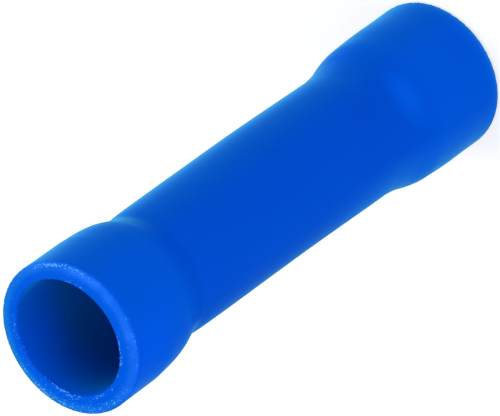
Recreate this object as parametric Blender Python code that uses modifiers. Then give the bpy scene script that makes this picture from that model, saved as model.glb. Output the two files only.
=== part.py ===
"""Insulated butt splice connector for 1.5 to 2.5 square millimetre wire.

A tinned copper barrel sits in the middle of a blue vinyl sleeve whose two ends are flared
into mouths for the wires' own insulation. The connector stands on one cut end: its axis is
+Z and its origin is the centre of that end. All lengths are in metres.
"""

import math

import bmesh
import bpy

# Conductor barrel: the tube that the stripped wires go into
BARREL_LENGTH = 0.0150
BARREL_BORE = 0.0023
BARREL_WALL = 0.0008
BARREL_EDGE_CHAMFER = 0.00015
WIRE_ENTRY_CHAMFER = 0.0003

# Serrations: V grooves round the bore that grip the crimped strands
GROOVES_PER_WIRE = 3
GROOVE_DEPTH = 0.00012
GROOVE_WIDTH = 0.00035

# Wire stop: a dent punched into the barrel at mid-length, which stands up in the bore
STOP_HEIGHT = 0.00075
STOP_WALL = 0.00055
PUNCH_NOSE_RADIUS = 0.0012

# Insulating sleeve: one formed tube, flared at both ends and thickest in its mouths
FIT_CLEARANCE = 0.0001
BODY_WALL = 0.00068
MOUTH_WALL = 0.0008
MOUTH_BORE = 0.0048
MOUTH_LENGTH = 0.0029
SHOULDER_LENGTH = 0.0024
SHOULDER_CONVEX_SHARE = 0.8
BARREL_OVERHANG = 0.0003
RIM_OUTER_ROUND = 0.0002
RIM_INNER_ROUND = 0.0001

# Facets
SEGMENTS = 48
STOP_SEGMENTS = 32
ROUND_STEPS = 3
CONVEX_STEPS = 6
CONCAVE_STEPS = 3
MERGE_DISTANCE = 0.000001

# Sizes that follow from the ones above
BARREL_OUTER_RADIUS = BARREL_BORE / 2 + BARREL_WALL
BODY_BORE_RADIUS = BARREL_OUTER_RADIUS + FIT_CLEARANCE
BODY_RADIUS = BODY_BORE_RADIUS + BODY_WALL
MOUTH_RADIUS = MOUTH_BORE / 2 + MOUTH_WALL
BODY_LENGTH = BARREL_LENGTH - 2 * BARREL_OVERHANG
END_LENGTH = MOUTH_LENGTH + SHOULDER_LENGTH
OVERALL_LENGTH = BODY_LENGTH + 2 * END_LENGTH


def clear_scene():
    """Remove what the open file holds, so that the script can be run again."""
    for old in list(bpy.data.objects):
        bpy.data.objects.remove(old)


def make_collection(name):
    """Return a new collection that is linked to the scene."""
    collection = bpy.data.collections.new(name)
    bpy.context.scene.collection.children.link(collection)
    return collection


def make_material(name, colour, roughness, metallic):
    """Return a Principled material of one colour."""
    material = bpy.data.materials.new(name)
    material.use_nodes = True
    shader = material.node_tree.nodes["Principled BSDF"]
    shader.inputs["Base Color"].default_value = (*colour, 1.0)
    shader.inputs["Roughness"].default_value = roughness
    shader.inputs["Metallic"].default_value = metallic
    material.diffuse_color = (*colour, 1.0)
    return material


def arc(radius_centre, depth_centre, radius, start, end, steps):
    """Points of an arc in the (radius, depth) half plane, both ends included.

    Angles are in radians, from the outward direction towards the middle of the part.
    """
    points = []
    for step in range(steps + 1):
        angle = start + (end - start) * step / steps
        points.append((
            radius_centre + radius * math.cos(angle),
            depth_centre + radius * math.sin(angle),
        ))
    return points


def sleeve_end(mouth_radius, body_radius, rim):
    """Half of one of the sleeve's surfaces, from its rim inwards, as (radius, depth).

    rim is the arc that rounds the rim's edge. The shoulder is an ogee: a large convex arc
    that runs tangent out of the straight mouth, and a small concave arc that runs tangent
    into the straight body. The outer and inner surfaces change over at the same depths, so
    the wall goes evenly from its thickness in the mouth to that in the body.
    """
    turn = 2 * math.atan2(mouth_radius - body_radius, SHOULDER_LENGTH)
    both_radii = SHOULDER_LENGTH / math.sin(turn)
    convex = both_radii * SHOULDER_CONVEX_SHARE
    concave = both_radii - convex
    bulge = arc(mouth_radius - convex, MOUTH_LENGTH, convex, 0, turn, CONVEX_STEPS)
    throat = arc(
        body_radius + concave, END_LENGTH, concave, math.pi + turn, math.pi, CONCAVE_STEPS,
    )
    return rim + bulge + throat[1:]


def mirrored_outline(outer_half, inner_half, length, centre_height):
    """Close two half outlines into a ring of (radius, height) points.

    The ring runs down the outer side from the top, and up the inner side. The halves are
    given as (radius, depth from the end), and both ends are alike.
    """
    top = centre_height + length / 2
    bottom = centre_height - length / 2
    outer_down = [(radius, top - depth) for radius, depth in outer_half]
    outer_foot = [(radius, bottom + depth) for radius, depth in reversed(outer_half)]
    inner_up = [(radius, bottom + depth) for radius, depth in inner_half]
    inner_head = [(radius, top - depth) for radius, depth in reversed(inner_half)]
    return outer_down + outer_foot + inner_up + inner_head


def turned(name, outline, collection, material):
    """Turn a ring of (radius, height) points about the Z axis with a Screw modifier."""
    mesh = bpy.data.meshes.new(name)
    corners = [(radius, 0.0, height) for radius, height in outline]
    edges = [(index, (index + 1) % len(corners)) for index in range(len(corners))]
    mesh.from_pydata(corners, edges, [])
    mesh.materials.append(material)
    turned_object = bpy.data.objects.new(name, mesh)
    collection.objects.link(turned_object)

    screw = turned_object.modifiers.new("Turn", "SCREW")
    screw.axis = "Z"
    screw.angle = math.tau
    screw.steps = SEGMENTS
    screw.render_steps = SEGMENTS
    screw.use_merge_vertices = True
    screw.merge_threshold = MERGE_DISTANCE
    screw.use_smooth_shade = True
    return turned_object


def keep_flats_flat(smooth_object):
    """Weight the normals by face area, so that cut ends and chamfers shade as flats."""
    smooth_object.modifiers.new("Flat ends", "WEIGHTED_NORMAL")


def hide_guide(guide):
    """Show a cutter or guide as wire, and leave it out of renders."""
    guide.display_type = "WIRE"
    guide.hide_render = True


def guide_sphere(name, radius, location, collection):
    """A sphere that shapes another piece, with its poles along Z."""
    mesh = bpy.data.meshes.new(name)
    shape = bmesh.new()
    bmesh.ops.create_uvsphere(
        shape, u_segments=STOP_SEGMENTS, v_segments=STOP_SEGMENTS // 2, radius=radius,
    )
    shape.to_mesh(mesh)
    shape.free()
    sphere = bpy.data.objects.new(name, mesh)
    sphere.location = location
    collection.objects.link(sphere)
    hide_guide(sphere)
    return sphere


def guide_rod(name, radius, length, centre_height, collection):
    """An upright round rod on the part's axis that shapes another piece."""
    mesh = bpy.data.meshes.new(name)
    shape = bmesh.new()
    bmesh.ops.create_cone(
        shape, cap_ends=True, segments=SEGMENTS, radius1=radius, radius2=radius, depth=length,
    )
    shape.to_mesh(mesh)
    shape.free()
    rod = bpy.data.objects.new(name, mesh)
    rod.location = (0.0, 0.0, centre_height)
    collection.objects.link(rod)
    hide_guide(rod)
    return rod


def boolean(target, tool, operation):
    """Join, cut or intersect a piece with a tool."""
    modifier = target.modifiers.new(f"{operation.title()} {tool.name}", "BOOLEAN")
    modifier.operation = operation
    modifier.object = tool
    modifier.solver = "EXACT"


def barrel_bore_half(bore_radius):
    """Half of the bore's outline as (radius, depth): the entry chamfer and the serrations.

    The grooves are spread evenly between the chamfer and the edge of the wire stop.
    """
    stop_reach = PUNCH_NOSE_RADIUS + STOP_WALL
    crimp_length = BARREL_LENGTH / 2 - WIRE_ENTRY_CHAMFER - stop_reach
    spacing = crimp_length / (GROOVES_PER_WIRE + 1)
    outline = [(bore_radius + WIRE_ENTRY_CHAMFER, 0.0), (bore_radius, WIRE_ENTRY_CHAMFER)]
    for groove in range(GROOVES_PER_WIRE):
        middle = WIRE_ENTRY_CHAMFER + spacing * (groove + 1)
        outline.append((bore_radius, middle - GROOVE_WIDTH / 2))
        outline.append((bore_radius + GROOVE_DEPTH, middle))
        outline.append((bore_radius, middle + GROOVE_WIDTH / 2))
    return outline


def make_barrel(parts, guides):
    """The tinned copper tube, with the wire stop dented into it at mid-length."""
    tinned = make_material("tinned_copper", (0.68, 0.67, 0.64), 0.32, 1.0)
    centre_height = OVERALL_LENGTH / 2
    bore_radius = BARREL_BORE / 2
    outer_half = [
        (BARREL_OUTER_RADIUS - BARREL_EDGE_CHAMFER, 0.0),
        (BARREL_OUTER_RADIUS, BARREL_EDGE_CHAMFER),
    ]
    outline = mirrored_outline(
        outer_half, barrel_bore_half(bore_radius), BARREL_LENGTH, centre_height,
    )
    barrel = turned("conductor_barrel", outline, parts, tinned)

    # The dent and the bump behind it are concentric spheres, STOP_WALL apart
    punch_centre = bore_radius - STOP_HEIGHT + STOP_WALL + PUNCH_NOSE_RADIUS
    location = (punch_centre, 0.0, centre_height)
    bump_radius = PUNCH_NOSE_RADIUS + STOP_WALL
    bump = guide_sphere("stop_bump", bump_radius, location, guides)
    punch = guide_sphere("stop_punch", PUNCH_NOSE_RADIUS, location, guides)
    inside = guide_rod(
        "stop_limit", bore_radius + BARREL_WALL / 2, 4 * bump_radius, centre_height, guides,
    )
    boolean(bump, inside, "INTERSECT")
    boolean(barrel, bump, "UNION")
    boolean(barrel, punch, "DIFFERENCE")
    keep_flats_flat(barrel)
    return barrel


def make_sleeve(parts):
    """The blue vinyl sleeve, turned from its outer and inner outlines."""
    vinyl = make_material("blue_vinyl", (0.0, 0.066, 0.62), 0.42, 0.0)
    outer_rim = arc(
        MOUTH_RADIUS - RIM_OUTER_ROUND, RIM_OUTER_ROUND, RIM_OUTER_ROUND,
        -math.pi / 2, 0, ROUND_STEPS,
    )
    inner_rim = arc(
        MOUTH_BORE / 2 + RIM_INNER_ROUND, RIM_INNER_ROUND, RIM_INNER_ROUND,
        3 * math.pi / 2, math.pi, ROUND_STEPS,
    )
    outline = mirrored_outline(
        sleeve_end(MOUTH_RADIUS, BODY_RADIUS, outer_rim),
        sleeve_end(MOUTH_BORE / 2, BODY_BORE_RADIUS, inner_rim),
        OVERALL_LENGTH, OVERALL_LENGTH / 2,
    )
    sleeve = turned("insulation_sleeve", outline, parts, vinyl)
    keep_flats_flat(sleeve)
    return sleeve


def main():
    clear_scene()
    parts = make_collection("butt_splice_connector")
    guides = make_collection("guides")
    make_barrel(parts, guides)
    make_sleeve(parts)


main()
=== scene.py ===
"""Looks of an insulated butt splice connector: a blue vinyl sleeve over a tinned barrel.

The connector stands on one cut end with its axis along +Z. The camera looks down into the
mouth at the upper end and is rolled, so that the axis lies across the picture from the
lower left to the upper right. Objects are in metres. Radii and depths from a cut end are
worked out in millimetres.
"""

import math

import bpy
import numpy as np
from mathutils import Matrix, Vector


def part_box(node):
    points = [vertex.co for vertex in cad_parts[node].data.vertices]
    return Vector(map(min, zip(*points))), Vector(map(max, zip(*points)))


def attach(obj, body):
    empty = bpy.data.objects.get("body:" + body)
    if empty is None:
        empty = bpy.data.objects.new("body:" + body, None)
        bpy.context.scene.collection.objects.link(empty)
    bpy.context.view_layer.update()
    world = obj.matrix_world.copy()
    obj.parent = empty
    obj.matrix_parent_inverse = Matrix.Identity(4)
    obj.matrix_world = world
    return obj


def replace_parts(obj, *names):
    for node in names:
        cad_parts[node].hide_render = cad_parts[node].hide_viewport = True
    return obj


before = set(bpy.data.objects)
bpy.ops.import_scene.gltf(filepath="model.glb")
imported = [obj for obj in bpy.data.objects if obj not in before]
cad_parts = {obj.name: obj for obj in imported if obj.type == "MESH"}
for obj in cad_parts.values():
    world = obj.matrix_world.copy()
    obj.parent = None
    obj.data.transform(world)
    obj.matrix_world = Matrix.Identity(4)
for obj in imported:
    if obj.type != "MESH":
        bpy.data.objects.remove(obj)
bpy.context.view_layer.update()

MM = 0.001

# Sizes read from the frame, in millimetres
sleeve_low, sleeve_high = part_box("insulation_sleeve")
barrel_low, barrel_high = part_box("conductor_barrel")
LENGTH = sleeve_high.z / MM
MIDDLE = LENGTH / 2
BARREL_RADIUS = barrel_high.x / MM
BARREL_LENGTH = (barrel_high.z - barrel_low.z) / MM

# Sleeve: outer radius at each depth from the cut end. The upper end necks in a little just
# before the barrel, and the lower end's shoulder is longer.
UPPER_END = (
    (0.0, 3.186), (1.2, 3.178), (2.2, 3.176), (2.8, 3.14), (3.4, 3.09), (4.0, 2.985),
    (4.6, 2.80), (5.2, 2.672), (5.8, 2.702), (6.4, 2.716), (7.4, 2.724), (9.5, 2.73),
    (12.5, 2.737),
)
LOWER_END = (
    (0.0, 3.178), (1.2, 3.172), (2.2, 3.178), (2.8, 3.168), (3.4, 3.142), (4.0, 3.115),
    (4.6, 3.01), (5.2, 2.86), (5.8, 2.772), (6.4, 2.732), (7.4, 2.736), (9.5, 2.74),
    (12.5, 2.737),
)
MOUTH_WALL = 0.73
BODY_WALL = 0.67
WALL_CHANGE = (1.5, 5.0)
BARREL_CLEARANCE = 0.04
LOBE_SIZE = 0.006
DENT_SIZE = 0.003
NICK_SIZE = 0.012

# Sleeve's grid: columns round it, rows of the bore's rounded edge, and the depth from a cut
# end where the rows become level
COLUMNS = 400
INNER_ROWS = 8
LEVEL_DEPTH = 2.0

# Rim: the blade rolled its edge over on one side and left it sharp and torn on the other
SHARP_ROUND = 0.07
ROLLED_ROUND = 0.36
UPPER_ROLLED_SIDE = math.radians(-98)
LOWER_ROLLED_SIDE = math.radians(120)
INNER_ROUND = (0.03, 0.14)
RIM_SINK = 0.03
UPPER_CUT_LEAN = 0.06
LOWER_CUT_LEAN = 0.14
MOUTH_OFF_CENTRE = (0.055, 0.09)
NECK_SHIFT = 0.072
LOWER_SHIFT = -0.012

# Crumbs that the blade left, in clusters: middle and spread of the angle in degrees, middle
# and spread of the distance from the axis, count, smallest and largest size, longest shape
CRUMB_HEIGHT = 0.024
UPPER_CRUMBS = (
    (-29, 5, 3.07, 0.03, 26, 0.016, 0.034, 2.6),
    (-40, 5, 3.07, 0.03, 14, 0.014, 0.028, 2.4),
    (-19, 4, 3.04, 0.03, 12, 0.012, 0.024, 1.8),
    (-57, 5, 3.05, 0.04, 14, 0.012, 0.022, 2.0),
    (-110, 40, 3.08, 0.05, 24, 0.010, 0.018, 1.6),
    (-122, 3, 3.09, 0.02, 5, 0.014, 0.026, 1.8),
    (-135, 13, 2.42, 0.015, 24, 0.010, 0.022, 3.2),
    (-56, 9, 2.48, 0.015, 9, 0.012, 0.022, 2.4),
    (124, 7, 2.50, 0.015, 36, 0.012, 0.026, 3.0),
    (137, 4, 2.54, 0.02, 9, 0.012, 0.024, 2.6),
    (168, 8, 2.52, 0.03, 12, 0.012, 0.024, 3.0),
    (130, 24, 2.88, 0.14, 80, 0.008, 0.019, 1.8),
    (160, 12, 3.02, 0.06, 22, 0.010, 0.022, 1.8),
    (112, 15, 3.04, 0.06, 60, 0.012, 0.028, 2.6),
    (52, 4, 2.62, 0.04, 9, 0.014, 0.026, 1.8),
    (62, 16, 2.72, 0.12, 16, 0.008, 0.016, 1.6),
    (182, 7, 2.97, 0.06, 16, 0.014, 0.028, 1.8),
    (0, 180, 2.80, 0.20, 40, 0.008, 0.015, 1.5),
)
LOWER_CRUMBS = (
    (-40, 9, 3.08, 0.04, 30, 0.016, 0.034, 2.6),
    (-75, 25, 2.95, 0.12, 50, 0.010, 0.024, 1.8),
    (-60, 10, 2.48, 0.02, 26, 0.016, 0.032, 3.2),
    (60, 60, 2.46, 0.02, 20, 0.012, 0.022, 2.6),
    (150, 30, 3.05, 0.05, 24, 0.010, 0.020, 1.6),
    (0, 180, 2.80, 0.20, 60, 0.008, 0.016, 1.5),
)

# Barrel: bore, chamfers, grooves and the dent of the wire stop
BORE_RADIUS = 1.15
ENTRY_CHAMFER = 0.3
EDGE_CHAMFER = 0.15
GROOVES_PER_WIRE = 3
GROOVE_DEPTH = 0.12
GROOVE_WIDTH = 0.35
STOP_HEIGHT = 0.75
STOP_WALL = 0.55
PUNCH_NOSE_RADIUS = 1.2
SEAM_WIDTH = 0.07
SEAM_DEPTH = 0.03

# View: the axis leans 45 degrees away from the line of sight
VIEW_ELEVATION = math.radians(45.0)
VIEW_ROLL = math.radians(-125.94)
FOCAL_LENGTH = 540.0
SENSOR_WIDTH = 36.0
CAMERA_DISTANCE = 293.1 * MM
CENTRE_RIGHT = 0.274 * MM
CENTRE_UP = 0.211 * MM

# Light: the world's level, and soft boxes as azimuth and elevation in degrees and radiance
WORLD_LEVEL = 0.43
LAMP_SIZE = 0.35
LAMP_DISTANCE = 0.5
LAMPS = {
    "right_low_box": (0, 12, 2.25),
    "back_low_box": (45, 12, 2.25),
    "back_high_box": (45, 45, 1.55),
    "left_far_box": (180, 12, 0.5),
    "left_low_box": (225, 12, 1.75),
    "left_high_box": (225, 45, 1.86),
    "front_low_box": (270, 12, 0.85),
    "front_right_box": (315, 12, 0.95),
}

# Floor: half its width, its grey, and the light that makes it white to the eye
FLOOR_HALF = 3.0
FLOOR_GREY = 0.6
FLOOR_GLOW = 0.55

# Colours of the vinyl's body, flares and bore, of its cut rim, and of other places. The paler
# flares, the darker bore, the lit flank, the highlight and the floor's reflection are painted
# light and shade, and the rolled edge is partly a painted highlight
BODY_DEEP = (0.0, 0.0625, 0.573, 1.0)
BODY_PALE = (0.0, 0.0755, 0.644, 1.0)
PAINTED_GLOW_BLUE = (0.0, 0.0873, 0.686, 1.0)
LIT_FLANK_BLUE = (0.0, 0.088, 0.78, 1.0)
MOUTH_BLUE = (0.0, 0.098, 0.62, 1.0)
SHADED_BORE_BLUE = (0.0, 0.112, 0.455, 1.0)
CUT_BLUE = (0.0, 0.105, 0.78, 1.0)
ROLLED_BLUE = (0.014, 0.168, 0.97, 1.0)
TORN_CYAN = (0.006, 0.215, 0.68, 1.0)
TORN_BLUE = (0.10, 0.46, 1.0, 1.0)
PAINTED_HIGHLIGHT_BLUE = (0.0, 0.105, 0.76, 1.0)
LIP_BLUE = (0.01, 0.25, 0.80, 1.0)
SIDE_BLUE = (0.0, 0.086, 0.55, 1.0)
FLOOR_REFLECTION_BLUE = (0.004, 0.13, 0.72, 1.0)
SHEEN_CYAN = (0.05, 0.88, 1.0, 1.0)

# Colours of the tinned barrel
TIN_BRIGHT = (0.70, 0.69, 0.66, 1.0)
TIN_DULL = (0.56, 0.55, 0.53, 1.0)


class Signal:
    """A number that changes over a surface, so that shader maths reads as arithmetic."""

    def __init__(self, graph, socket):
        self.graph = graph
        self.socket = socket

    def __add__(self, other):
        return self.graph.maths("ADD", self, other)

    __radd__ = __add__

    def __sub__(self, other):
        return self.graph.maths("SUBTRACT", self, other)

    def __rsub__(self, other):
        return self.graph.maths("SUBTRACT", other, self)

    def __neg__(self):
        return self.graph.maths("SUBTRACT", 0.0, self)

    def __mul__(self, other):
        return self.graph.maths("MULTIPLY", self, other)

    __rmul__ = __mul__

    def __truediv__(self, other):
        return self.graph.maths("DIVIDE", self, other)

    def __rtruediv__(self, other):
        return self.graph.maths("DIVIDE", other, self)

    def __pow__(self, other):
        return self.graph.maths("POWER", self, other)

    def __rpow__(self, other):
        return self.graph.maths("POWER", other, self)


class Graph:
    """A node tree whose nodes all come from one method."""

    def __init__(self, tree):
        self.tree = tree

    def node(self, kind, settings=None, inputs=None, output=0):
        """Add a node: its settings first, then its inputs as values or links."""
        made = self.tree.nodes.new(kind)
        for name, value in (settings or {}).items():
            setattr(made, name, value)
        self.feed(made, inputs or {})
        return Signal(self, made.outputs[output])

    def feed(self, target, inputs):
        """Set or link the inputs of a node."""
        for name, value in inputs.items():
            if isinstance(value, Signal):
                self.tree.links.new(value.socket, target.inputs[name])
            else:
                target.inputs[name].default_value = value

    def maths(self, operation, first, second=0.0):
        return self.node("ShaderNodeMath", {"operation": operation}, {0: first, 1: second})

    def seen_directly(self):
        """1 for rays from the camera, by reflection or through glass, and 0 for light."""
        kinds = ("Is Camera Ray", "Is Glossy Ray", "Is Transmission Ray")
        camera, glossy, through = [
            self.node("ShaderNodeLightPath", None, None, kind) for kind in kinds
        ]
        return self.maths("MAXIMUM", self.maths("MAXIMUM", camera, glossy), through)


class Finish(Graph):
    """A material on the Principled shader, whose changing inputs are built from Signals."""

    def __init__(self, name):
        self.material = bpy.data.materials.new(name)
        self.material.use_nodes = True
        super().__init__(self.material.node_tree)
        self.shader = self.tree.nodes["Principled BSDF"]
        place = self.node("ShaderNodeTexCoord", output="Object")
        in_mm = {0: place, "Scale": 1 / MM}
        self.place = self.node("ShaderNodeVectorMath", {"operation": "SCALE"}, in_mm)

    def split(self, vector):
        """The three numbers of a vector, one Signal for each."""
        return [
            self.node("ShaderNodeSeparateXYZ", None, {0: vector}, output) for output in range(3)
        ]

    def stretched(self, scale):
        """The object coordinates in millimetres, scaled along each axis."""
        inputs = {0: self.place, 1: scale}
        return self.node("ShaderNodeVectorMath", {"operation": "MULTIPLY"}, inputs)

    def noise(self, scale, detail=2.0, roughness=0.5, vector=None):
        """Soft noise from 0 to 1. scale is in features per millimetre."""
        inputs = {
            "Vector": vector or self.place, "Scale": scale,
            "Detail": detail, "Roughness": roughness,
        }
        return self.node("ShaderNodeTexNoise", None, inputs)

    def step(self, value, low, high):
        """A smooth rise from 0 at low to 1 at high."""
        inputs = {"Value": value, "From Min": low, "From Max": high}
        return self.node("ShaderNodeMapRange", {"interpolation_type": "SMOOTHSTEP"}, inputs)

    def mix(self, amount, colour_a, colour_b):
        """colour_a where amount is 0, colour_b where it is 1."""
        settings = {"data_type": "RGBA"}
        return self.node("ShaderNodeMix", settings, {0: amount, 6: colour_a, 7: colour_b}, 2)

    def bump(self, height, distance):
        """A normal raised by height, which is in units of distance."""
        return self.node("ShaderNodeBump", None, {"Height": height, "Distance": distance})

    def set(self, **inputs):
        """Set or link the Principled shader's inputs, with _ for a space in a name."""
        named = {name.replace("_", " "): value for name, value in inputs.items()}
        self.feed(self.shader, named)
        return self

    def fade(self, amount, inputs):
        """Give way to a second Principled shader with other inputs, where amount is 1."""
        own = Signal(self, self.shader.outputs[0])
        other = self.node("ShaderNodeBsdfPrincipled", None, inputs)
        mixed = self.node("ShaderNodeMixShader", None, {0: amount, 1: own, 2: other})
        self.feed(self.tree.nodes["Material Output"], {"Surface": mixed})


def new_piece(name, points, faces, finish):
    """A piece from an array of points in millimetres and an array of faces of one size."""
    mesh = bpy.data.meshes.new(name)
    mesh.vertices.add(len(points))
    mesh.vertices.foreach_set("co", (points * MM).astype(np.float32).ravel())
    mesh.loops.add(faces.size)
    mesh.loops.foreach_set("vertex_index", faces.astype(np.int32).ravel())
    mesh.polygons.add(len(faces))
    starts = np.arange(0, faces.size, faces.shape[1], dtype=np.int32)
    mesh.polygons.foreach_set("loop_start", starts)
    mesh.update(calc_edges=True)
    mesh.validate()
    mesh.shade_smooth()
    mesh.materials.append(finish.material)

    piece = bpy.data.objects.new(name, mesh)
    bpy.context.scene.collection.objects.link(piece)
    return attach(piece, "root")


def ring_faces(rows, columns):
    """Faces of a grid whose rows and columns both wrap round, like a tube bent into a ring."""
    index = np.arange(rows * columns).reshape(rows, columns)
    right = np.roll(index, -1, axis=1)
    below = np.roll(index, -1, axis=0)
    corner = np.roll(right, -1, axis=0)
    return np.stack([index, below, corner, right], axis=-1).reshape(-1, 4)


def smooth(value, low, high):
    """A smooth rise from 0 at low to 1 at high, for arrays."""
    part = np.clip((value - low) / (high - low), 0.0, 1.0)
    return part * part * (3.0 - 2.0 * part)


def through(stations, depth):
    """The radius at each depth, on a smooth curve through (depth, radius) stations.

    The slope at a station is the harmonic mean of the slopes of the spans beside it, or 0
    where they differ in sign, so the curve never swings past a station. Between stations it
    is the cubic that has those slopes at its ends.
    """
    at, radius = np.array(stations).T
    span = np.diff(at)
    slope = np.diff(radius) / span
    product = slope[:-1] * slope[1:]
    total = np.where(product > 0, slope[:-1] + slope[1:], 1.0)
    slopes = np.concatenate([[0.0], np.where(product > 0, 2 * product / total, 0.0), [0.0]])
    first = np.clip(np.searchsorted(at, depth, side="right") - 1, 0, len(span) - 1)
    share = (depth - at[first]) / span[first]
    rise = share * share * (3 - 2 * share)
    leave = share * (1 - share) ** 2 * span[first] * slopes[first]
    arrive = share * share * (share - 1) * span[first] * slopes[first + 1]
    return radius[first] * (1 - rise) + radius[first + 1] * rise + leave + arrive


def ripples(seed, turns, along, count, slope=1.0):
    """A seeded sum of waves round and along the part, as a function of (angle, height).

    Each wave is a cosine with a whole number of turns round the part, so it closes, and up
    to a given number of waves along the length. The sum stays within about 1 of nothing.
    """
    draw = np.random.default_rng(seed)
    round_waves = draw.integers(turns[0], turns[1] + 1, count)
    long_waves = draw.uniform(along[0], along[1], count) * draw.choice([-1, 1], count)
    phases = draw.uniform(0, math.tau, count)
    sizes = 1.0 / (1.0 + np.arange(count)) ** (0.5 * slope)
    sizes /= np.sqrt((sizes ** 2).sum() / 2) * 2.2

    def surface(angle, height):
        total = np.zeros(np.broadcast(angle, height).shape)
        for number, waves, phase, size in zip(round_waves, long_waves, phases, sizes):
            total += size * np.cos(number * angle + math.tau * waves * height / LENGTH + phase)
        return total

    return surface


def sleeve_end(stations, rounding, inner_rounding):
    """One half of the sleeve from mid-length, over the rim and back inside to mid-length.

    Returns the radius and the depth from the cut end, as arrays of rows by columns, and
    the rows that make up the rim. rounding and inner_rounding are the radii of the cut
    face's two edges at each column. The rim is a quarter circle outside, a flat face and a
    quarter circle inside. The inner surface lies a wall's thickness in, and clears the
    barrel.
    """
    near = np.linspace(0.0, 1.0, 12)[:, None]
    shoulder = np.linspace(LEVEL_DEPTH, 7.0, 37)[1:, None]
    body = np.linspace(7.0, MIDDLE, 11)[1:, None]
    wall_depth = np.concatenate([
        rounding + (LEVEL_DEPTH - rounding) * near,
        np.concatenate([shoulder, body]) + 0.0 * rounding,
    ])
    wall_radius = through(stations, wall_depth)

    turn = np.linspace(math.pi / 2, 0.0, 15)[1:-1, None]
    edge_radius = through(stations, rounding) - rounding
    round_radius = edge_radius + rounding * np.sin(turn)
    round_depth = rounding * (1.0 - np.cos(turn))

    bore = stations[0][1] - MOUTH_WALL
    across = np.linspace(0.0, 1.0, 14)[:, None]
    face_radius = edge_radius * (1 - across) + (bore + inner_rounding) * across
    face_depth = 0.0 * face_radius

    inner_turn = np.linspace(0.0, math.pi / 2, INNER_ROWS + 1)[1:, None]
    inner_radius = bore + inner_rounding * (1 - np.sin(inner_turn))
    inner_depth = inner_rounding * (1 - np.cos(inner_turn))

    back = np.linspace(0.0, 1.0, 10)[1:, None]
    throat = np.linspace(LEVEL_DEPTH, 6.0, 15)[1:, None]
    bore_body = np.linspace(6.0, MIDDLE, 5)[1:, None]
    back_depth = np.concatenate([
        inner_rounding + (LEVEL_DEPTH - inner_rounding) * back,
        np.concatenate([throat, bore_body]) + 0.0 * rounding,
    ])
    thickness = MOUTH_WALL + (BODY_WALL - MOUTH_WALL) * smooth(back_depth, *WALL_CHANGE)
    inner_wall = through(stations, back_depth) - thickness
    back_radius = np.maximum(inner_wall, BARREL_RADIUS + BARREL_CLEARANCE)

    radius = np.concatenate([
        wall_radius[::-1], round_radius, face_radius, inner_radius, back_radius,
    ])
    depth = np.concatenate([wall_depth[::-1], round_depth, face_depth, inner_depth, back_depth])
    rim = np.arange(len(wall_depth) - 1, len(radius) - len(back_depth))
    return radius, depth, rim


def one_sided(angle, side, power):
    """1 on one side of the part, falling to 0 on the other: a raised cosine to a power."""
    return (0.5 + 0.5 * np.cos(angle - side)) ** power


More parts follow.
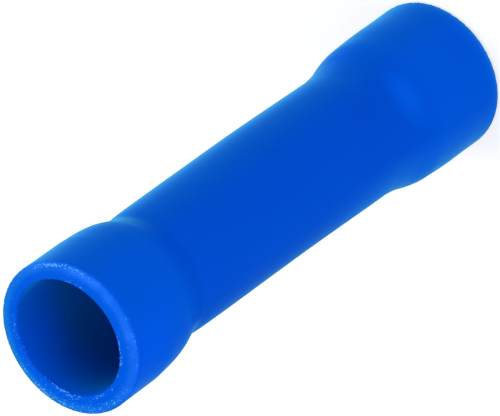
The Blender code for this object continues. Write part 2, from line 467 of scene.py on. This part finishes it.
def sleeve_points():
    """The sleeve's points and its rim marks, as rows by columns by 3, and both rims' rows.

    Both halves run from mid-length outside, over their rim, to mid-length inside. The lower
    one is turned round, so that the rows close into a ring. Then the forming's unevenness
    is added: the body stands a little to one side of the mouths, soft lobes swell the
    skin, and the cut faces lean a little and are nicked. The marks are how much of a point
    is cut face, rolled edge and torn side.
    """
    angle = np.linspace(0.0, math.tau, COLUMNS, endpoint=False)[None, :]
    halves = []
    torn_sides = []
    ends = ((UPPER_END, UPPER_ROLLED_SIDE), (LOWER_END, LOWER_ROLLED_SIDE))
    for stations, rolled_side in ends:
        rolled = one_sided(angle, rolled_side, 2.5)
        torn = one_sided(angle, rolled_side + math.pi, 1.5)
        rounding = SHARP_ROUND + (ROLLED_ROUND - SHARP_ROUND) * rolled
        inner_rounding = INNER_ROUND[0] + (INNER_ROUND[1] - INNER_ROUND[0]) * torn
        halves.append(sleeve_end(stations, rounding, inner_rounding))
        torn_sides.append(torn)
    (upper_radius, upper_depth, rim), (lower_radius, lower_depth, _) = halves
    half = len(upper_radius)
    radius = np.concatenate([upper_radius, lower_radius[-2:0:-1]])
    depth = np.concatenate([upper_depth, lower_depth[-2:0:-1]])
    is_lower = (np.arange(len(radius)) >= half)[:, None]
    row = np.arange(len(radius))[:, None]
    last_flat = rim[-1] - INNER_ROWS
    is_inside = (row > last_flat) & (row < 2 * half - 2 - last_flat)
    torn = np.where(is_lower, torn_sides[1], torn_sides[0])

    # Marks: place is the distance from the axis, measured on over the outer edge
    place = radius + np.where(is_inside, 0.0, depth)
    cut = 1.0 - np.where(is_inside, smooth(depth, 0.0, 0.16), smooth(place, 3.10, 3.40))
    outer_edge = smooth(place, 2.70, 3.02) * (1.0 - smooth(place, 3.14, 3.38))
    outer_edge = np.where(is_inside, 0.0, outer_edge)
    marks = np.stack([cut, outer_edge * np.sqrt(1.0 - torn), outer_edge * torn], axis=-1)

    lobes = ripples(11, (1, 3), (0.2, 1.4), 7)
    dents = ripples(12, (2, 9), (1.0, 6.0), 24)
    nicks = ripples(23, (30, 140), (0.0, 3.0), 80, slope=0.3)
    along = np.where(is_lower, depth, LENGTH - depth)
    near_edge = 1.0 - smooth(depth, 0.0, 0.4)
    skin = LOBE_SIZE * lobes(angle, along) + DENT_SIZE * dents(angle, along)
    chatter = NICK_SIZE * nicks(angle, along + 3.0 * radius) * near_edge * (0.3 + 0.7 * torn)
    radius = radius + skin + chatter
    across = np.clip(0.5 + 0.5 * radius * np.cos(angle) / UPPER_END[0][1], 0.0, 1.0)
    lean = np.where(is_lower, LOWER_CUT_LEAN * (1.0 - across), UPPER_CUT_LEAN * across)
    lean = lean * (1.0 - smooth(depth, 0.0, 2.5))
    depth = depth + RIM_SINK + 0.5 * np.abs(chatter)
    height = np.where(is_lower, depth + lean, LENGTH - depth - lean)

    reach_up = smooth(LENGTH - height, 2.0, 4.8)
    reach_down = smooth(height, 5.4, MIDDLE)
    shift = NECK_SHIFT * reach_up * reach_down + LOWER_SHIFT * (1.0 - reach_down)
    shift = np.where(is_inside, 0.0, shift)
    mouth = np.where(is_inside, 1.0 - smooth(depth, 0.5, 4.5), 0.0)
    rim_share = np.clip((3.17 - radius) / 0.7, 0.0, 1.0)
    mouth = np.where(depth < 0.4, rim_share, mouth)
    points = np.stack([
        radius * np.cos(angle) + shift + MOUTH_OFF_CENTRE[0] * mouth,
        radius * np.sin(angle) + MOUTH_OFF_CENTRE[1] * mouth,
        height,
    ], axis=-1)
    last = len(points) - 1
    return points, marks, rim, last - rim + 1


def make_sleeve(finish, points, marks):
    """The blue vinyl sleeve. Its rim marks go with the mesh as the attribute rim_marks."""
    rows, columns, _ = points.shape
    faces = ring_faces(rows, columns)[:, ::-1]
    piece = new_piece("vinyl_sleeve", points.reshape(-1, 3), faces, finish)
    store = piece.data.attributes.new("rim_marks", "FLOAT_VECTOR", "POINT")
    store.data.foreach_set("vector", marks.astype(np.float32).ravel())
    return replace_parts(piece, "insulation_sleeve")


def icosahedron():
    """The 12 corners of an icosahedron at distance 1, and its 20 faces."""
    golden = (1 + math.sqrt(5)) / 2
    sign = np.array([[-1.0, 1.0], [1.0, 1.0], [-1.0, -1.0], [1.0, -1.0]])
    flat = np.zeros((4, 1))
    pair = sign * np.array([1.0, golden])
    corners = np.concatenate([
        np.hstack([pair, flat]), np.hstack([flat, pair]),
        np.hstack([pair[:, 1:], flat, pair[:, :1]]),
    ])
    faces = np.array([
        (0, 11, 5), (0, 5, 1), (0, 1, 7), (0, 7, 10), (0, 10, 11), (1, 5, 9), (5, 11, 4),
        (11, 10, 2), (10, 7, 6), (7, 1, 8), (3, 9, 4), (3, 4, 2), (3, 2, 6), (3, 6, 8),
        (3, 8, 9), (4, 9, 5), (2, 4, 11), (6, 2, 10), (8, 6, 7), (9, 8, 1),
    ])
    return corners / np.linalg.norm(corners[0]), faces


def crumb_points(points, rim, clusters, seed):
    """Torn crumbs on one rim, as crumbs by 12 corners by 3.

    Each crumb is an icosahedron stretched along the rim, across it and out of it, with
    each corner pushed in or out at random. It sits half sunk in the sleeve's own grid, at
    an angle and a distance from the axis drawn from its cluster.
    """
    draw = np.random.default_rng(seed)
    corners, _ = icosahedron()
    angle, radius, size, stretch = [], [], [], []
    for middle, spread, distance, scatter, count, small, large, longest in clusters:
        angle.append(np.radians(draw.normal(middle, spread, count)))
        radius.append(draw.normal(distance, scatter, count))
        size.append(draw.uniform(small, large, count))
        stretch.append(draw.uniform(1.0, longest, count))
    drawn = (angle, radius, size, stretch)
    angle, radius, size, stretch = [np.concatenate(part) for part in drawn]

    columns = points.shape[1]
    column = np.round(angle / math.tau * columns).astype(int) % columns
    distance = np.hypot(points[rim][:, column, 0], points[rim][:, column, 1])
    row = rim[np.clip(np.abs(distance - radius).argmin(axis=0), 1, len(rim) - 2)]
    centre = points[row, column]
    along = points[row, (column + 1) % columns] - points[row, column - 1]
    across = points[row + 1, column] - points[row - 1, column]
    along /= np.linalg.norm(along, axis=1, keepdims=True)
    across /= np.linalg.norm(across, axis=1, keepdims=True)
    out = np.cross(across, along)
    out /= np.linalg.norm(out, axis=1, keepdims=True)

    count = len(size)
    local = corners[None] * (1.0 + draw.uniform(-0.28, 0.28, (count, 12, 1)))
    turn = draw.normal(0.0, 0.35, count)
    first = along * np.cos(turn)[:, None] + across * np.sin(turn)[:, None]
    second = across * np.cos(turn)[:, None] - along * np.sin(turn)[:, None]
    reach = np.minimum(size * 0.7, CRUMB_HEIGHT)
    return (
        centre[:, None]
        + local[..., :1] * (first * (size * stretch)[:, None])[:, None]
        + local[..., 1:2] * (second * size[:, None])[:, None]
        + (local[..., 2:] - 0.1) * (out * reach[:, None])[:, None]
    )


def make_crumbs(finish, points, rims):
    """The crumbs that the blade left on both rims, as one piece."""
    crumbs = np.concatenate([
        crumb_points(points, rim, clusters, seed) for rim, clusters, seed in rims
    ])
    _, one = icosahedron()
    faces = (np.arange(len(crumbs))[:, None, None] * 12 + one[None]).reshape(-1, 3)
    return new_piece("rim_crumbs", crumbs.reshape(-1, 3), faces, finish)


def barrel_outline():
    """The barrel's outline as a ring of (radius, height), finest near the wire stop."""
    def line(start, end, count):
        share = np.linspace(0.0, 1.0, count, endpoint=False)[:, None]
        return np.array(start) * (1 - share) + np.array(end) * share

    low = MIDDLE - BARREL_LENGTH / 2
    stop_reach = PUNCH_NOSE_RADIUS + STOP_WALL
    crimp_length = BARREL_LENGTH / 2 - ENTRY_CHAMFER - stop_reach
    spacing = crimp_length / (GROOVES_PER_WIRE + 1)
    bore_runs = [line((BORE_RADIUS + ENTRY_CHAMFER, 0.0), (BORE_RADIUS, ENTRY_CHAMFER), 4)]
    start = ENTRY_CHAMFER
    for groove in range(GROOVES_PER_WIRE):
        middle = ENTRY_CHAMFER + spacing * (groove + 1)
        first = middle - GROOVE_WIDTH / 2
        last = middle + GROOVE_WIDTH / 2
        bore_runs.append(line((BORE_RADIUS, start), (BORE_RADIUS, first), 4))
        share = np.linspace(0.0, 1.0, 7, endpoint=False)
        depth_in = GROOVE_DEPTH * (0.5 - 0.5 * np.cos(math.tau * share))
        along = first + share * GROOVE_WIDTH
        bore_runs.append(np.stack([BORE_RADIUS + depth_in, along], axis=1))
        start = last
    bore_runs.append(line((BORE_RADIUS, start), (BORE_RADIUS, BARREL_LENGTH / 2), 28))
    bore = np.concatenate(bore_runs)

    face_edge = (BARREL_RADIUS - EDGE_CHAMFER, 0.0)
    chamfer_foot = (BARREL_RADIUS, EDGE_CHAMFER)
    stop_edge = (BARREL_RADIUS, BARREL_LENGTH / 2 - stop_reach)
    outer = np.concatenate([
        line(face_edge, chamfer_foot, 3),
        line(chamfer_foot, stop_edge, 8),
        line(stop_edge, (BARREL_RADIUS, BARREL_LENGTH / 2), 26),
    ])
    face = line(face_edge, (BORE_RADIUS + ENTRY_CHAMFER, 0.0), 4)[1:]

    def at_top(half):
        return np.stack([half[:, 0], BARREL_LENGTH - half[:, 1]], axis=1)

    waist = np.array([[BARREL_RADIUS, BARREL_LENGTH / 2]])
    bore_waist = np.array([[BORE_RADIUS, BARREL_LENGTH / 2]])
    ring = np.concatenate([
        at_top(outer), waist, outer[::-1], face,
        bore, bore_waist, at_top(bore)[::-1], at_top(face)[::-1],
    ])
    return ring + np.array([0.0, low])


def dented(radius, height, angle, ball_radius, ball_centre):
    """radius, or less where a ball on the +X side reaches further in.

    Along each ray from the axis the ball's near side lies at
    c cos(angle) - sqrt(R^2 - (height - middle)^2 - c^2 sin(angle)^2).
    """
    rest = ball_radius ** 2 - (height - MIDDLE) ** 2 - (ball_centre * np.sin(angle)) ** 2
    near_side = ball_centre * np.cos(angle) - np.sqrt(np.maximum(rest, 0.0))
    hit = (rest > 0) & (np.cos(angle) > 0)
    return np.where(hit, np.minimum(radius, near_side), radius)


def make_barrel(finish):
    """The tinned tube: serrated bore, wire stop dented in from +X, seam along -X."""
    outline = barrel_outline()
    radius = outline[:, :1]
    height = outline[:, 1:]
    around = np.linspace(0.0, math.tau, 288, endpoint=False)
    beside_seam = math.pi + np.linspace(-0.09, 0.09, 37)
    angle = np.unique(np.concatenate([around, beside_seam]))[None, :]

    is_outer = radius > (BARREL_RADIUS + BORE_RADIUS + ENTRY_CHAMFER) / 2
    punch_centre = BORE_RADIUS - STOP_HEIGHT + STOP_WALL + PUNCH_NOSE_RADIUS
    outer = dented(radius, height, angle, PUNCH_NOSE_RADIUS, punch_centre)
    bore = dented(radius, height, angle, PUNCH_NOSE_RADIUS + STOP_WALL, punch_centre)
    wall = np.where(is_outer, outer, bore)

    off_seam = np.abs(angle - math.pi) * radius
    groove = SEAM_DEPTH * (1.0 - smooth(off_seam, 0.0, SEAM_WIDTH))
    wall = wall - np.where(is_outer, groove, -0.5 * groove)
    points = np.stack([
        wall * np.cos(angle), wall * np.sin(angle), height + 0.0 * angle,
    ], axis=-1)
    rows, columns, _ = points.shape
    faces = ring_faces(rows, columns)
    piece = new_piece("tinned_barrel", points.reshape(-1, 3), faces, finish)
    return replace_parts(piece, "conductor_barrel")


def vinyl():
    """Satin blue vinyl: soft clouds of colour, fine skin texture, and a rough cut rim.

    flank is the cosine of the angle from the +X side, so it is 1 along that side's middle and
    -1 along the far side's.
    """
    finish = Finish("blue_vinyl")
    x, y, z = finish.split(finish.place)
    upper_depth = LENGTH - z
    depth = finish.maths("MINIMUM", z, upper_depth)
    marks = finish.node("ShaderNodeAttribute", {"attribute_name": "rim_marks"}, output="Vector")
    cut, rolled_edge, torn_edge = finish.split(marks)

    clouds = finish.noise(0.35, 3.0, 0.55)
    streaks = finish.noise(1.0, 3.0, 0.6, finish.stretched((5.0, 5.0, 0.12)))
    skin = finish.noise(9.0, 3.0, 0.55)
    grain = finish.noise(16.0, 2.0, 0.6)
    clusters = finish.step(finish.noise(1.1, 2.0, 0.5), 0.40, 0.62)

    # Painted light and shade: the inside is painted darker than the flares, as shade in the
    # bore, and the flares are painted paler than the body, as light shining through their
    # hollow walls
    distance = (x * x + y * y) ** 0.5
    inside = (1.0 - finish.step(distance, 2.44, 2.56)) * (1.0 - finish.step(depth, 4.2, 4.8))
    flare_glow = 1.0 - finish.step(depth, 3.6, 5.4)
    base = finish.mix(clouds, BODY_DEEP, BODY_PALE)
    base = finish.mix(flare_glow * 0.9, base, PAINTED_GLOW_BLUE)

    # A faint painted highlight on the lower shoulder
    off_highlight = ((x * 0.65) ** 2.0 + (z * 1.25 - 6.4) ** 2.0) ** 0.5
    painted_highlight = (1.0 - finish.step(off_highlight, 0.1, 1.15)) * finish.step(-y, 0.0, 1.0)
    base = finish.mix(painted_highlight * 0.7, base, PAINTED_HIGHLIGHT_BLUE)

    # One flank is greener, up to its side line, where a painted sheen brightens it. The other
    # has painted light by the upper mouth and a painted reflection of the floor at the lower
    # end. The vinyl is paler just above the lower cut end.
    flank = x / distance
    base = finish.mix(finish.step(flank, 0.3, 0.73) * 0.6, base, SIDE_BLUE)
    # Painted sheen: the middle of the +X flank is painted a brighter blue
    base = finish.mix(finish.step(flank, 0.84, 1.0) * 0.8, base, PAINTED_GLOW_BLUE)
    # Painted light: the -X flank near the upper mouth is painted a brighter blue
    lit_flank = finish.step(-flank, 0.1, 0.8) * (1.0 - finish.step(upper_depth, 0.8, 3.4))
    base = finish.mix(lit_flank, base, LIT_FLANK_BLUE)
    # Painted reflection: a pale band on the -X flank of the lower end stands for the floor's
    # reflection
    floor_reflection = finish.step(-flank, 0.62, 1.0) * (1.0 - finish.step(z, 6.0, 13.0))
    base = finish.mix(floor_reflection * 0.8, base, FLOOR_REFLECTION_BLUE)
    base = finish.mix(2.0 ** (z * -7.0), base, LIP_BLUE)
    # Painted shade: the bore is painted darker than the flares, and darker still deeper in
    bore = finish.mix(finish.step(depth, 0.1, 1.1), MOUTH_BLUE, SHADED_BORE_BLUE)
    base = finish.mix(inside, base, bore)

    # The cut face, its rolled edge, which is paler vinyl with a painted highlight on it, the
    # torn side, and specks of torn vinyl in clusters
    base = finish.mix(cut, base, CUT_BLUE)
    lumps = finish.step(finish.noise(1.1, 1.5, 0.5), 0.36, 0.60)
    base = finish.mix(rolled_edge * (0.5 + lumps * 0.5), base, ROLLED_BLUE)
    base = finish.mix(torn_edge * (0.6 + grain * 0.6), base, TORN_CYAN)
    specks = finish.step(grain, 0.62, 0.72) * cut * (0.1 + clusters * 0.4 + torn_edge * 0.3)
    base = finish.mix(specks, base, TORN_BLUE)

    rough = 0.26 + clouds * 0.06 + streaks * 0.06 + cut * 0.2
    height = streaks * 0.35 + skin * 0.25 + grain * (cut * 0.5 + torn_edge * 1.5)
    normal = finish.bump(height, 0.012 * MM)
    finish.set(Base_Color=base, Roughness=rough, Normal=normal, Specular_IOR_Level=0.003)
    finish.set(Sheen_Weight=1.0, Sheen_Roughness=0.28, Sheen_Tint=SHEEN_CYAN)

    # The rubbed skin has a sheen, less on one side. The bore has none, and the front of the
    # upper shoulder little.
    shoulder = finish.step(upper_depth, 3.4, 4.1) * (1.0 - finish.step(upper_depth, 5.0, 5.4))
    side = finish.maths("MAXIMUM", finish.step(x, 0.9, 2.3), finish.step(-x, 2.2, 2.7))
    dull_side = finish.step(-x, 1.4, 2.5) * (0.25 + finish.step(z, 3.0, 7.0) * 0.2)
    fresh = finish.maths("MAXIMUM", shoulder * (0.9 - side * 0.75), dull_side)
    finish.fade(finish.maths("MAXIMUM", inside, fresh), {
        "Base Color": base, "Roughness": rough, "Normal": normal, "Specular IOR Level": 0.0,
    })
    return finish


def torn_vinyl():
    """The crumbs: vinyl that is paler where it was torn, with a fine rough grain."""
    finish = Finish("torn_vinyl")
    grain = finish.noise(22.0, 2.0, 0.6)
    base = finish.mix(finish.step(grain, 0.25, 0.55), ROLLED_BLUE, TORN_BLUE)
    normal = finish.bump(grain, 0.004 * MM)
    finish.set(Base_Color=base, Roughness=0.5 + grain * 0.2, Normal=normal)
    finish.set(Specular_IOR_Level=0.1)
    return finish


def tinned_copper():
    """Electro-tinned copper: pale satin metal with draw lines and dull clouds."""
    finish = Finish("tinned_copper")
    clouds = finish.noise(0.8, 4.0, 0.6)
    draw_lines = finish.noise(1.0, 3.0, 0.6, finish.stretched((14.0, 14.0, 0.25)))
    crystals = finish.noise(7.0, 2.0, 0.5)
    base = finish.mix(finish.step(clouds, 0.35, 0.7), TIN_BRIGHT, TIN_DULL)
    rough = 0.26 + clouds * 0.16 + draw_lines * 0.08
    height = draw_lines * 0.6 + crystals * 0.4
    finish.set(Base_Color=base, Roughness=rough, Normal=finish.bump(height, 0.006 * MM))
    finish.set(Metallic=1.0)
    return finish


def camera_axes():
    """The camera's right, up and back directions, as unit vectors."""
    back = Vector((0.0, -math.cos(VIEW_ELEVATION), math.sin(VIEW_ELEVATION)))
    level_right = Vector((1.0, 0.0, 0.0))
    level_up = back.cross(level_right)
    right = math.cos(VIEW_ROLL) * level_right + math.sin(VIEW_ROLL) * level_up
    up = math.cos(VIEW_ROLL) * level_up - math.sin(VIEW_ROLL) * level_right
    return right, up, back


def placed(name, data, right, up, back, location):
    """An object turned so that its own X, Y and Z lie along right, up and back."""
    made = bpy.data.objects.new(name, data)
    bpy.context.scene.collection.objects.link(made)
    turn = Matrix((right, up, back)).transposed().to_4x4()
    made.matrix_world = Matrix.Translation(location) @ turn
    return made


def make_camera():
    """A long lens, so that the two ends look almost equally wide."""
    right, up, back = camera_axes()
    middle = Vector((0.0, 0.0, MIDDLE * MM))
    location = middle + back * CAMERA_DISTANCE - right * CENTRE_RIGHT - up * CENTRE_UP
    data = bpy.data.cameras.new("camera")
    data.lens = FOCAL_LENGTH
    data.sensor_width = SENSOR_WIDTH
    data.clip_start = 0.01
    data.clip_end = 10.0
    bpy.context.scene.camera = placed("camera", data, right, up, back, location)


def make_lamp(name, azimuth, elevation, radiance):
    """A square soft box of even radiance that faces the part's middle.

    azimuth is counted from +X towards +Y, and elevation from the floor, in degrees. An
    area lamp of power P and area A has the radiance P / (pi A).
    """
    around, rise = math.radians(azimuth), math.radians(elevation)
    level = Vector((math.cos(around), math.sin(around), 0.0))
    towards = level * math.cos(rise) + Vector((0.0, 0.0, math.sin(rise)))
    lamp_right = Vector((-math.sin(around), math.cos(around), 0.0))
    data = bpy.data.lights.new(name, "AREA")
    data.shape = "SQUARE"
    data.size = LAMP_SIZE
    data.energy = radiance * math.pi * LAMP_SIZE * LAMP_SIZE
    location = Vector((0.0, 0.0, MIDDLE * MM)) + towards * LAMP_DISTANCE
    return placed(name, data, lamp_right, towards.cross(lamp_right), towards, location)


def make_floor():
    """A pale floor: white where the camera sees it lit, and darker in the part's shadow."""
    half = FLOOR_HALF
    corners = [(-half, -half, 0), (half, -half, 0), (half, half, 0), (-half, half, 0)]
    mesh = bpy.data.meshes.new("floor")
    mesh.from_pydata(corners, [], [(0, 1, 2, 3)])
    finish = Finish("pale_floor")
    grey = (FLOOR_GREY, FLOOR_GREY, FLOOR_GREY, 1.0)
    finish.set(Base_Color=grey, Roughness=0.9, Specular_IOR_Level=0.0)
    finish.set(Emission_Color=(1.0, 1.0, 1.0, 1.0))
    finish.set(Emission_Strength=finish.seen_directly() * FLOOR_GLOW)
    mesh.materials.append(finish.material)
    floor = bpy.data.objects.new("floor", mesh)
    bpy.context.scene.collection.objects.link(floor)


def make_world():
    """Even pale light from all round, pure white where it is seen."""
    world = bpy.data.worlds.new("studio")
    bpy.context.scene.world = world
    world.use_nodes = True
    sky = Graph(world.node_tree)
    level = WORLD_LEVEL + sky.seen_directly() * (1.0 - WORLD_LEVEL)
    sky.feed(sky.tree.nodes["Background"], {"Color": (1.0, 1.0, 1.0, 1.0), "Strength": level})


make_camera()
make_world()
make_floor()
for lamp_name, settings in LAMPS.items():
    make_lamp(lamp_name, *settings)
sleeve, rim_marks, upper_rim, lower_rim = sleeve_points()
make_sleeve(vinyl(), sleeve, rim_marks)
crumbed_rims = ((upper_rim, UPPER_CRUMBS, 31), (lower_rim[::-1], LOWER_CRUMBS, 32))
make_crumbs(torn_vinyl(), sleeve, crumbed_rims)
make_barrel(tinned_copper())

bpy.context.scene.view_settings.view_transform = "Standard"
